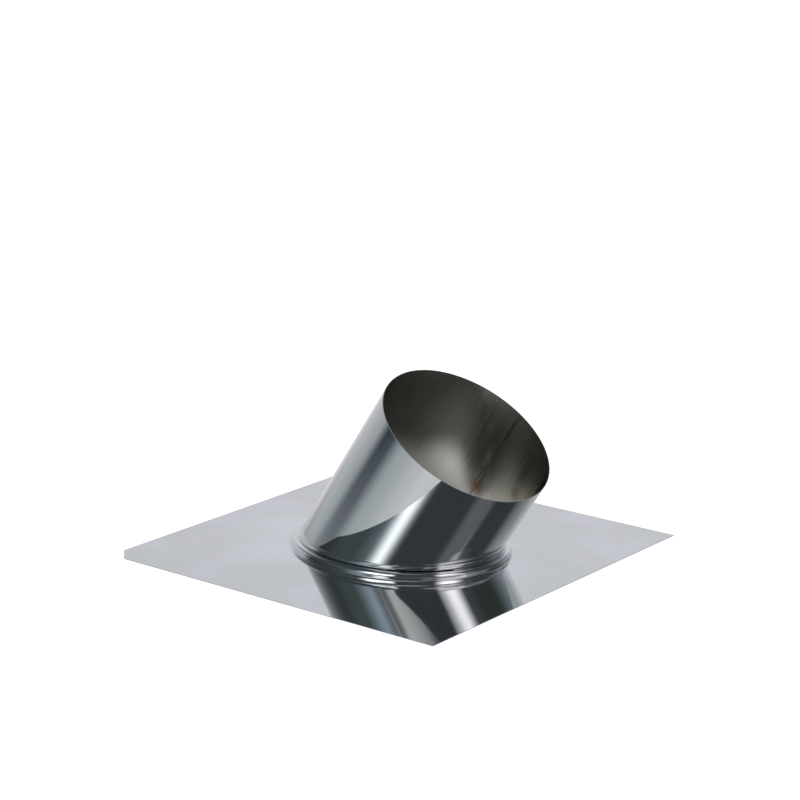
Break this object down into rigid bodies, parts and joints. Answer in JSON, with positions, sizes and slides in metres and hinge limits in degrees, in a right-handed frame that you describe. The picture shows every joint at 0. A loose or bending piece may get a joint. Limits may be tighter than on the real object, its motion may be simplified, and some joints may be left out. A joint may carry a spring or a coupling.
{
  "type": "roof flashing",
  "caption": "Square sheet-metal roof flashing with a drawn oval collar and a slanted round sleeve that takes a flue pipe.",
  "frame": {"origin": "middle of the square plate's underside, where the sleeve's axis crosses it", "axes": "+Z is the plate's upward normal; +X is the way the sleeve leans, down the slope of a pitched roof"},
  "size_m": [0.45, 0.45, 0.2027],
  "materials": {
    "base_plate": "bright annealed stainless sheet, fine rolling grain",
    "sleeve": "bright annealed stainless sheet, mirror-like, with a long weld"
  },
  "bodies": {
    "root": {"base_plate": "base_plate", "sleeve": "sleeve"}
  },
  "joints": []
}
